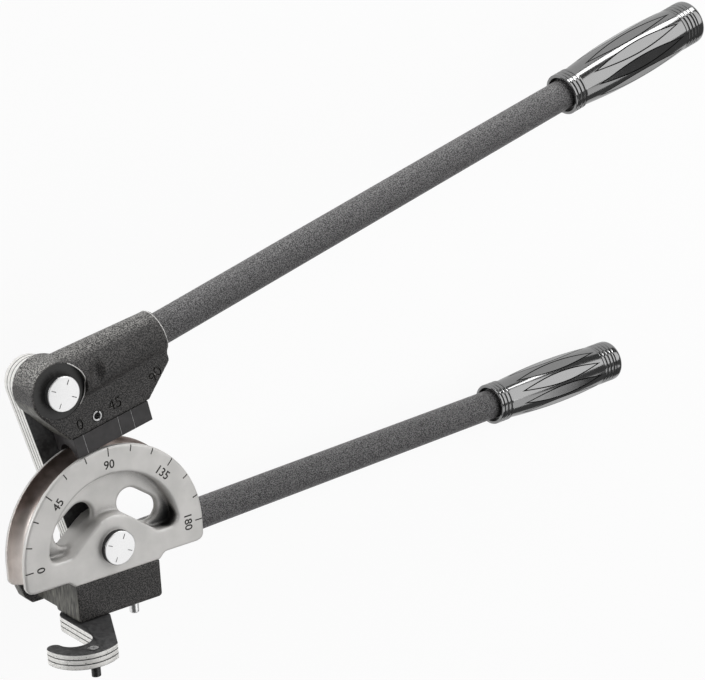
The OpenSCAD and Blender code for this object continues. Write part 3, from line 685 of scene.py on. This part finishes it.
def grip_plastic_finish():
    """Glossy black plastic, with faint smears from hands."""
    material, tree, shader = new_finish("grip_plastic", (0.012, 0.012, 0.012), 0.12, 0.0)
    shader.inputs["IOR"].default_value = 2.7
    swirl = noise_of(tree, 60, 3)
    black = tones(tree, swirl, (0.008, 0.008, 0.008), (0.016, 0.016, 0.017))
    tree.links.new(black, shader.inputs["Base Color"])
    smear = noise_of(tree, 300, 3)
    tree.links.new(span(tree, smear, 0.1, 0.16), shader.inputs["Roughness"])
    return material


def grip_groove_finish():
    """Dull black in the fine lines round the flats."""
    material, tree, shader = new_finish("grip_groove", (0.004, 0.004, 0.004), 0.7, 0.0)
    shader.inputs["Specular IOR Level"].default_value = 0.1
    darkening = noise_of(tree, 400, 3)
    black = tones(tree, darkening, (0.002, 0.002, 0.002), (0.007, 0.007, 0.007))
    tree.links.new(black, shader.inputs["Base Color"])
    return material


grip_plastic = grip_plastic_finish()
grip_groove = grip_groove_finish()
LOWER_SLOPE = 2.45
LOWER_SIDE = -0.0238
LOWER_DEPTH = -0.039
LOWER_REACH = 0.4294
LOWER_GRIP = 0.11
LOWER_FULL = 0.0149
LOWER_FLAT_DEG = 152
set_grip(LOWER_GRIP, LOWER_FULL, math.radians(LOWER_FLAT_DEG),
         along_handle(LOWER_SLOPE, LOWER_SIDE, LOWER_DEPTH, LOWER_REACH - LOWER_GRIP),
         "form_handle_moulded_grip", "form_handle", "form_handle_grip")

# Link: four stamped steel plates side by side, turning on the centre pin. Their faces have a dark
# mill finish, and their sheared edges are bare and bright.
LINK_PLATES = 4
LINK_EASE = 0.00027
LINK_THIN_AXIS = 2
SHORTEST_EDGE = 0.00025
EDGE_FACING = 0.3


def dark_plate_finish():
    """Dark mill scale on rolled plate."""
    material, tree, shader = new_finish("dark_plate", (0.032, 0.032, 0.033), 0.5, 0.3)
    scale = noise_of(tree, 500, 4)
    dark = tones(tree, scale, (0.04, 0.04, 0.041), (0.085, 0.085, 0.086))
    tree.links.new(dark, shader.inputs["Base Color"])
    tree.links.new(span(tree, scale, 0.4, 0.6), shader.inputs["Roughness"])
    bump(tree, shader, scale, 0.00008, 0.3)
    return material


def sheared_edge_finish(name, stretch, pitting):
    """Bare sheared steel, streaked along the plate's thickness, with pits above a level of noise."""
    material, tree, shader = new_finish(name, (0.9, 0.89, 0.87), 0.35, 0.2)
    streaks = noise_of(tree, 400, 3, stretch)
    edge = tones(tree, streaks, (0.86, 0.85, 0.82), (0.95, 0.94, 0.91))
    pits = noise_of(tree, 1100, 2)
    pitted = tones(tree, pits, (0.3, 0.29, 0.28), (0.1, 0.1, 0.1), 0.6, 0.75)
    in_pits = span(tree, pits, 0.0, 1.0, pitting, pitting + 0.08)
    tree.links.new(blend_colours(tree, in_pits, edge, pitted), shader.inputs["Base Color"])
    tree.links.new(span(tree, streaks, 0.3, 0.45), shader.inputs["Roughness"])
    bump(tree, shader, streaks, 0.00003, 0.15)
    return material


def stamped_plate(node, name, thin_axis, ease, finishes):
    """A stamped plate with eased edges, dark on its flat faces and bare round its edge."""
    solid = eased_solid(node, ease, SHORTEST_EDGE, False)
    for face in solid.faces:
        face.material_index = int(abs(face.normal[thin_axis]) < EDGE_FACING)
    plate = object_of(solid, name)
    for finish in finishes:
        plate.data.materials.append(finish)
    return plate


dark_plate = dark_plate_finish()
link_edge = sheared_edge_finish("link_edge", (1, 1, 0.15), 0.76)
for count in range(1, LINK_PLATES + 1):
    node = "link_plate_%d" % count
    plate = stamped_plate(node, "link_stamping_%d" % count, LINK_THIN_AXIS, LINK_EASE,
                          (dark_plate, link_edge))
    set_in_place(plate, "link", [node])

# Pivot pins and snap rings: headed pins turned from bright steel rod. Four stake marks are struck
# into each head, and a spring-steel ring holds the pin's other end.
PIN_RADIUS = 0.006
PIN_TURNS = 96
PIN_END = 0.0008
HEAD_RADIUS = 0.010
HEAD_ROUND = 0.0006
HEAD_THICK = 0.004
UNDERCUT = 0.0005
RING_NECK = 0.0006
PIN_SIDE_FACING = 0.6
STAKE_TURN = 64
STAKE_PLACE = 0.0068
STAKE_LENGTH = 0.003
STAKE_WIDTH = 0.0005
STAKE_DEPTHS = (0.0009, 0.0004, 0.0004, 0.0004)


def headed_pin(pin_node, ring_node, name, body):
    """A staked pin at the place of its node, necked where its ring sits."""
    low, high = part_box(pin_node)
    ring_low, ring_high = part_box(ring_node)
    top = high.z
    rounds = [math.radians(turn) for turn in range(0, 91, 15)]
    seat = top - HEAD_THICK
    neck = PIN_RADIUS - RING_NECK
    profile = [(0, top)]
    for turn in rounds:
        profile.append((HEAD_RADIUS - HEAD_ROUND * (1 - math.sin(turn)),
                        top - HEAD_ROUND * (1 - math.cos(turn))))
    profile += [(HEAD_RADIUS, seat + UNDERCUT), (HEAD_RADIUS - UNDERCUT, seat), (PIN_RADIUS, seat),
                (PIN_RADIUS, ring_high.z), (neck, ring_high.z), (neck, ring_low.z),
                (PIN_RADIUS, ring_low.z), (PIN_RADIUS, low.z + PIN_END), (PIN_RADIUS - PIN_END, low.z),
                (0, low.z)]
    solid = turned_solid(profile, PIN_TURNS)
    middle = (low + high) / 2
    place = Matrix.Translation((middle.x, middle.y, 0))
    # Sides of head and shank get a near-black finish: painted shade for the dark ring beside the head.
    for face in solid.faces:
        face.material_index = 2 * int(abs(face.normal.z) < PIN_SIDE_FACING)
    bmesh.ops.transform(solid, verts=solid.verts[:], matrix=place)
    pin = object_of(solid, name)
    for finish in (pin_steel, stake_mark, pin_side_shade):
        pin.data.materials.append(finish)
    stakes = bmesh.new()
    for quarter, depth in enumerate(STAKE_DEPTHS):
        turn = Matrix.Rotation(math.radians(STAKE_TURN + 90 * quarter), 4, "Z")
        add_solid(stakes, block(STAKE_LENGTH, STAKE_WIDTH, depth),
                  place @ turn @ Matrix.Translation((STAKE_PLACE, 0, top)))
    sink(pin, stakes, 1)
    set_in_place(pin, body, [pin_node])


pin_steel = steel_finish("pin_steel", (0.7, 0.7, 0.7), (0.75, 0.75, 0.75), 0.32, 0.9, 1200)
stake_mark = steel_finish("stake_mark", (0.12, 0.12, 0.12), (0.4, 0.4, 0.4), 0.5, 0.6)
# Near-black steel for the pin sides: painted shade.
pin_side_shade = steel_finish("pin_side_shade", (0.016, 0.016, 0.016), (0.032, 0.032, 0.032), 0.45, 0.3)
ring_steel = steel_finish("ring_steel", (0.05, 0.05, 0.05), (0.09, 0.09, 0.09), 0.35, 0.8)
headed_pin("centre_pin", "centre_pin_ring", "centre_pin_staked", "form_handle")
headed_pin("link_pin", "link_pin_ring", "link_pin_staked", "link")
for node in ("centre_pin_ring", "link_pin_ring"):
    finish_node(node, ring_steel)

# Moving handle's casting: boss, web and tapering socket in one iron casting, with a flat turned for
# the link pin's head and a hollow beside it. It has the same crinkle coat, and the web carries
# three cast marks for lining up with the scale.
SHOE_SLOPE = 11.7
WEB_FIGURE_HEIGHT = 0.0062
WEB_FIGURE_DEPTH = 0.0009
WEB_FIGURES = (("0", -0.0160, 0.0761, 0), ("45", 0.0068, 0.0823, 0), ("90", 0.0343, 0.0926, 30))
HOLLOW_PLACE = Vector((-0.0044, 0.1036))
HOLLOW_HALF = Vector((0.006, 0.009))
HOLLOW_DEPTH = 0.0028
HOLLOW_REACH = 0.003
RECESS_RADIUS = 0.0157
RECESS_SHIFT = Vector((-0.0007, 0.0007, 0))
RECESS_DEPTH = 0.0003
RECESS_TOP = 0.03
RECESS_TURNS = 128
LIT_BARE_LIP_FROM = -40
LIT_BARE_LIP_TO = 66
LIT_BARE_LIP_OUT = 0.0002
LIT_BARE_LIP_ROUNDS = 4
LIT_BARE_LIP_WIRE = 0.0003
SOCKET_MOUTH = 0.071
MOUTH_BACK = 0.0006
MOUTH_REACH = 0.03
ABOVE = Vector((0, 0, 0.04))
WEB_SLANT = Vector((-0.72, -0.69, 0))
SLANT_FACING = 0.88

moving_solid = cast_solid("shoe_handle_casting", CASTING_GRAIN, 3)
for vert in moving_solid.verts:
    if vert.co.z > FORM_FACE - HOLLOW_REACH:
        reach = Vector((vert.co.x, vert.co.y)) - HOLLOW_PLACE
        out = math.hypot(reach.x / HOLLOW_HALF.x, reach.y / HOLLOW_HALF.y)
        if out < 1:
            vert.co.z -= HOLLOW_DEPTH * (1 - out * out) ** 2
for face in moving_solid.faces:
    # Slanted lower-left faces of the web take the worn coat, lighter in part as painted light.
    face.material_index = 3 * int(face.normal.dot(WEB_SLANT) > SLANT_FACING)
moving_casting = object_of(moving_solid, "shoe_handle_cast")
dark_coat = steel_finish("dark_coat", (0.02, 0.0195, 0.019), (0.035, 0.034, 0.033), 0.5, 0.0, 1500)
for finish in (casting_coat, dark_coat, stamped_mark, worn_and_lit_coat):
    moving_casting.data.materials.append(finish)
web_stamp = bmesh.new()
for word, along_x, along_y, tilt in WEB_FIGURES:
    add_solid(web_stamp, figures(word, WEB_FIGURE_HEIGHT, WEB_FIGURE_DEPTH, 0),
              Matrix.Translation((along_x, along_y, FORM_FACE))
              @ Matrix.Rotation(math.radians(SHOE_SLOPE + tilt), 4, "Z"))
link_pin_axis = (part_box("link_pin")[0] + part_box("link_pin")[1]) / 2
recess_floor = FORM_FACE - RECESS_DEPTH
recess = turned_solid([(0, RECESS_TOP), (RECESS_RADIUS, RECESS_TOP), (RECESS_RADIUS, recess_floor),
                       (0, recess_floor)], RECESS_TURNS)
recess_axis = Vector((link_pin_axis.x, link_pin_axis.y, 0)) + RECESS_SHIFT
bmesh.ops.translate(recess, verts=recess.verts[:], vec=recess_axis)
sink(moving_casting, web_stamp, 2)
sink(moving_casting, recess, 1)
set_in_place(moving_casting, "shoe_handle", ["shoe_handle_casting"])


def bare_lip(points, name, closed):
    """A fine bare edge along points on the casting, as a thin round bead whose near-white tone is in part
    a painted highlight.
    """
    curve = bpy.data.curves.new(name, "CURVE")
    curve.dimensions = "3D"
    curve.bevel_depth = LIT_BARE_LIP_WIRE
    curve.bevel_resolution = 2
    curve.use_fill_caps = True
    line = curve.splines.new("POLY")
    line.use_cyclic_u = closed
    line.points.add(len(points) - 1)
    for place, point in zip(line.points, points):
        place.co = (*point, 1)
    wire = bpy.data.objects.new(name, curve)
    bpy.context.scene.collection.objects.link(wire)
    solid = bmesh.new()
    mesh = bpy.data.meshes.new_from_object(wire.evaluated_get(bpy.context.evaluated_depsgraph_get()))
    solid.from_mesh(mesh)
    bpy.data.meshes.remove(mesh)
    remove_piece(wire)
    lip = object_of(solid, name)
    lip.data.materials.append(lit_bare_edge)
    set_in_place(lip, "shoe_handle")


# Near-white bead along the recess rim and the socket mouth: bare metal with a painted highlight.
lit_bare_edge = steel_finish("lit_bare_edge", (0.6, 0.59, 0.58), (0.85, 0.84, 0.82), 0.45, 0.1)
lip_points = []
for turn in range(LIT_BARE_LIP_FROM, LIT_BARE_LIP_TO + 1, 2):
    side = Matrix.Rotation(math.radians(turn), 4, "Z") @ Vector((RECESS_RADIUS + LIT_BARE_LIP_OUT, 0, 0))
    _, point, _, _ = moving_casting.ray_cast(recess_axis + side + ABOVE, -ABOVE.normalized())
    lip_points.append(point)
for _ in range(LIT_BARE_LIP_ROUNDS):
    lip_points[1:-1] = [(before + 2 * here + after) / 4
                        for before, here, after in zip(lip_points, lip_points[1:], lip_points[2:])]
bare_lip(lip_points, "recess_lip", False)
UPPER_SLOPE = 14.8
UPPER_SIDE = -0.00225


def upper_handle(start):
    """The place of a piece along the moving handle, from a distance along it."""
    return (Matrix.Translation((link_pin_axis.x, link_pin_axis.y, 0))
            @ along_handle(UPPER_SLOPE, UPPER_SIDE, 0, start))


mouth_points = []
mouth = upper_handle(SOCKET_MOUTH - MOUTH_BACK)
for turn in range(0, 360, 5):
    side = mouth.to_3x3() @ Vector((math.cos(math.radians(turn)), math.sin(math.radians(turn)), 0))
    _, point, _, _ = moving_casting.ray_cast(mouth.translation + MOUTH_REACH * side, -side)
    mouth_points.append(point)
bare_lip(mouth_points, "mouth_lip", True)

# Bend shoe: a hardened follower block with a half-round channel, its tongue pinned in the casting's
# slot. It is blackened, and three fine lines are scribed across its front.
SCRIBES = (((-0.01455, 0.0693), (-0.0120, 0.0582)), ((0.0081, 0.0739), (0.0100, 0.0633)),
           ((0.0168, 0.0755), (0.0188, 0.0656)))
SCRIBE_WIDTH = 0.0004
SCRIBE_DEPTH = 0.0002
SCRIBE_OVERRUN = 0.003
SHOE_EASE = 0.0003


def blackened_shoe_finish():
    """Blackened hard steel with a fine ground grain."""
    material, tree, shader = new_finish("blackened_shoe", (0.045, 0.043, 0.044), 0.45, 0.2)
    stain = noise_of(tree, 150, 4)
    coat = tones(tree, stain, (0.026, 0.0245, 0.025), (0.043, 0.04, 0.041))
    tree.links.new(coat, shader.inputs["Base Color"])
    grain = noise_of(tree, 2500, 2)
    tree.links.new(span(tree, grain, 0.38, 0.55), shader.inputs["Roughness"])
    bump(tree, shader, grain, 0.00003, 0.3)
    return material


shoe = object_of(eased_solid("bend_shoe", SHOE_EASE), "bend_shoe_block")
scribed_line = steel_finish("scribed_line", (0.25, 0.25, 0.25), (0.4, 0.4, 0.4), 0.4, 0.7)
shoe.data.materials.append(blackened_shoe_finish())
shoe.data.materials.append(scribed_line)
scribe_stamp = bmesh.new()
for start, end in SCRIBES:
    run = Vector(end) - Vector(start)
    middle = (Vector(start) + Vector(end)) / 2
    add_solid(scribe_stamp, block(run.length + SCRIBE_OVERRUN, SCRIBE_WIDTH, 2 * SCRIBE_DEPTH),
              Matrix.Translation((middle.x, middle.y, FORM_FACE))
              @ Matrix.Rotation(math.atan2(run.y, run.x), 4, "Z"))
sink(shoe, scribe_stamp, 1)
set_in_place(shoe, "shoe_handle", ["bend_shoe"])

# Roll pin: a tube rolled from spring steel, with a slit along it. It is pressed through casting and
# tongue, and holds the shoe in its slot.
ROLL_PIN_EASE = 0.00025
roll_steel = steel_finish("roll_steel", (0.4, 0.4, 0.4), (0.6, 0.6, 0.6), 0.35, 0.9)
roll_pin = object_of(eased_solid("shoe_roll_pin", ROLL_PIN_EASE), "roll_pin")
roll_pin.data.materials.append(roll_steel)
set_in_place(roll_pin, "shoe_handle", ["shoe_roll_pin"])

# Upper grip: the moulding on the moving handle, in the same glossy plastic. It is a little fuller
# and longer than the lower one, and pushed on the tube's end like it.
UPPER_REACH = 0.512
UPPER_GRIP = 0.1182
UPPER_FULL = 0.0158
UPPER_FLAT_DEG = 145
set_grip(UPPER_GRIP, UPPER_FULL, math.radians(UPPER_FLAT_DEG), upper_handle(UPPER_REACH - UPPER_GRIP),
         "shoe_handle_moulded_grip", "shoe_handle", "shoe_handle_grip")

# Latch: three stamped hook plates that turn on a shoulder screw under the lug, pinned together by a
# coiled spring pin whose free end is the finger peg.
LATCH_PLATES = 3
LATCH_EASE = 0.0003
LATCH_THIN_AXIS = 1
COIL_TURNS = 2.2
COIL_STEPS = 88
COIL_RADIUS = 0.003
COIL_WALL = 0.0011
COIL_GAP = 0.00008
COIL_END_FACING = 0.9

hook_edge = sheared_edge_finish("hook_edge", (1, 0.15, 1), 0.63)
for count in range(1, LATCH_PLATES + 1):
    node = "latch_plate_%d" % count
    plate = stamped_plate(node, "latch_stamping_%d" % count, LATCH_THIN_AXIS, LATCH_EASE,
                          (dark_plate, hook_edge))
    set_in_place(plate, "latch", [node])

peg_low, peg_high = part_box("latch_peg")
peg_middle = (peg_low + peg_high) / 2
coil = bmesh.new()
spiral = []
for step in range(COIL_STEPS + 1):
    turned = COIL_TURNS * step / COIL_STEPS
    radius = COIL_RADIUS - (COIL_WALL + COIL_GAP) * turned
    angle = math.tau * turned
    spiral.append(coil.verts.new((peg_middle.x + radius * math.cos(angle), peg_low.y,
                                  peg_middle.z + radius * math.sin(angle))))
strip = [coil.edges.new(pair) for pair in zip(spiral, spiral[1:])]
drawn = bmesh.ops.extrude_edge_only(coil, edges=strip)
bmesh.ops.translate(coil, vec=(0, peg_high.y - peg_low.y, 0),
                    verts=[item for item in drawn["geom"] if isinstance(item, bmesh.types.BMVert)])
bmesh.ops.recalc_face_normals(coil, faces=coil.faces[:])
bmesh.ops.solidify(coil, geom=coil.faces[:], thickness=COIL_WALL)
bmesh.ops.recalc_face_normals(coil, faces=coil.faces[:])
for face in coil.faces:
    face.material_index = int(abs(face.normal.y) > COIL_END_FACING)
peg = object_of(coil, "coiled_peg")
peg_steel = steel_finish("peg_steel", (0.03, 0.03, 0.03), (0.07, 0.07, 0.07), 0.4, 0.7)
peg_end = steel_finish("peg_end", (0.4, 0.4, 0.4), (0.6, 0.6, 0.6), 0.4, 0.6)
peg.data.materials.append(peg_steel)
peg.data.materials.append(peg_end)
set_in_place(peg, "latch", ["latch_peg"])

# Studio: a pale floor under the bender, two broad boxes above it to the right, a strip far behind
# for the tops of castings and grips, and a low strip to the left for the groove and the bare
# edges. The camera stands where the photograph's did.
FLOOR_GAP = 0.0005
FLOOR_HALF = 6
FLOOR_WHITE = 0.93
WORLD_LIGHT = 0.12
LAMPS_AIM = Vector((0.1, 0, 0))
CAMERA_SENSOR = 36
CAMERA_LENS = 116.57
CAMERA_FAR = 20
CAMERA_PLACE = (-0.60418, 0.48487, 1.03455)
CAMERA_TURN_DEG = (-15.2222, -38.0591, -3.7183)
floor_solid = bmesh.new()
bmesh.ops.create_grid(floor_solid, x_segments=1, y_segments=1, size=FLOOR_HALF)
bmesh.ops.translate(floor_solid, verts=floor_solid.verts[:], vec=(0, 0, cad_box[0][2] - FLOOR_GAP))
floor = object_of(floor_solid, "floor")


def seen_white(tree, surface, share):
    """Shows a surface mostly as plain white to the camera, in reflections and through glass."""
    path = tree.nodes.new("ShaderNodeLightPath")
    seen = path.outputs["Is Camera Ray"]
    for ray in ("Is Glossy Ray", "Is Transmission Ray"):
        either = tree.nodes.new("ShaderNodeMath")
        either.operation = "MAXIMUM"
        tree.links.new(seen, either.inputs[0])
        tree.links.new(path.outputs[ray], either.inputs[1])
        seen = either.outputs["Value"]
    white = tree.nodes.new("ShaderNodeEmission")
    mix = tree.nodes.new("ShaderNodeMixShader")
    tree.links.new(span(tree, seen, 0.0, share), mix.inputs["Fac"])
    tree.links.new(surface, mix.inputs[1])
    tree.links.new(white.outputs["Emission"], mix.inputs[2])
    return mix.outputs["Shader"]


pale, pale_tree, pale_shader = new_finish("pale_floor", (0.9, 0.9, 0.9), 0.9, 0)
pale_tree.links.new(seen_white(pale_tree, pale_shader.outputs["BSDF"], FLOOR_WHITE),
                    pale_tree.nodes["Material Output"].inputs["Surface"])
floor.data.materials.append(pale)

world = bpy.data.worlds.new("studio")
world.use_nodes = True
sky = world.node_tree.nodes["Background"]
sky.inputs["Color"].default_value = (1, 1, 1, 1)
sky.inputs["Strength"].default_value = WORLD_LIGHT
bpy.context.scene.world = world


def softbox(name, direction, distance, width, height, radiance):
    """A soft lamp that looks at the form from a direction."""
    lamp = bpy.data.lights.new(name, "AREA")
    lamp.shape = "RECTANGLE"
    lamp.size = width
    lamp.size_y = height
    lamp.energy = radiance * math.pi * width * height
    box = bpy.data.objects.new(name, lamp)
    box.location = distance * Vector(direction).normalized() + LAMPS_AIM
    box.rotation_euler = Vector(direction).to_track_quat("Z", "Y").to_euler()
    bpy.context.scene.collection.objects.link(box)


softbox("face_box", (0.42, -0.42, 0.82), distance=1.5, width=1.3, height=1.3, radiance=1.25)
softbox("key_box", (0.56, 0.42, 0.66), distance=1.6, width=1.35, height=1.35, radiance=1.95)
softbox("back_box", (0.3, 0.93, 0.17), distance=1.6, width=1.3, height=0.32, radiance=6.5)
softbox("left_box", (-0.93, 0.36, 0.03), distance=1.3, width=0.7, height=0.2, radiance=16.0)

camera = bpy.data.cameras.new("photo_camera")
camera.sensor_width = CAMERA_SENSOR
camera.lens = CAMERA_LENS
camera.clip_end = CAMERA_FAR
camera_stand = bpy.data.objects.new("photo_camera", camera)
camera_stand.location = CAMERA_PLACE
camera_stand.rotation_euler = [math.radians(turn) for turn in CAMERA_TURN_DEG]
bpy.context.scene.collection.objects.link(camera_stand)
bpy.context.scene.camera = camera_stand
bpy.context.scene.view_settings.view_transform = "Standard"
